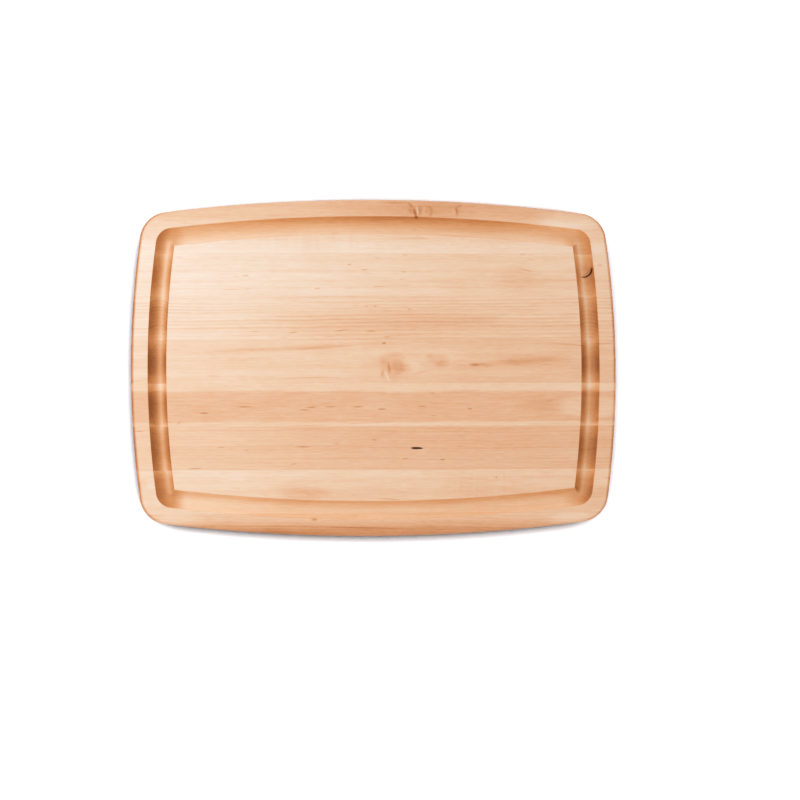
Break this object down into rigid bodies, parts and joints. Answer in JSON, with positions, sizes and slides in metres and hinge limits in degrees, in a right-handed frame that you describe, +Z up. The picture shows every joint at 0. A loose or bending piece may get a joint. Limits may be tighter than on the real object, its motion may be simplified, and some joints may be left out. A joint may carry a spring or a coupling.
{
  "type": "cutting board",
  "caption": "Rectangular edge grain maple cutting board with bowed sides, rounded corners, eased edges and a round-bottomed juice groove round the cutting face.",
  "frame": {"origin": "centre of the underside, on the surface that the board lies on", "axes": "+X along the grain and the long sides, +Y from the front edge to the back edge, +Z up out of the cutting face"},
  "size_m": [0.508, 0.3524, 0.0381],
  "materials": {
    "maple_pale": "oiled hard maple sapwood, sanded satin",
    "maple_cream": "oiled hard maple, the palest rails, sanded satin",
    "maple_honey": "oiled hard maple with close growth lines, sanded satin",
    "maple_rose": "oiled hard maple with a faint pink cast, sanded satin",
    "maple_amber": "oiled hard maple with heartwood, sanded satin"
  },
  "bodies": {
    "root": {"back_edge_rail": "maple_pale", "field_rail_1": "maple_cream", "field_rail_2": "maple_honey", "field_rail_3": "maple_pale", "field_rail_4": "maple_rose", "field_rail_5": "maple_honey", "field_rail_6": "maple_cream", "front_edge_rail": "maple_amber"}
  },
  "joints": []
}
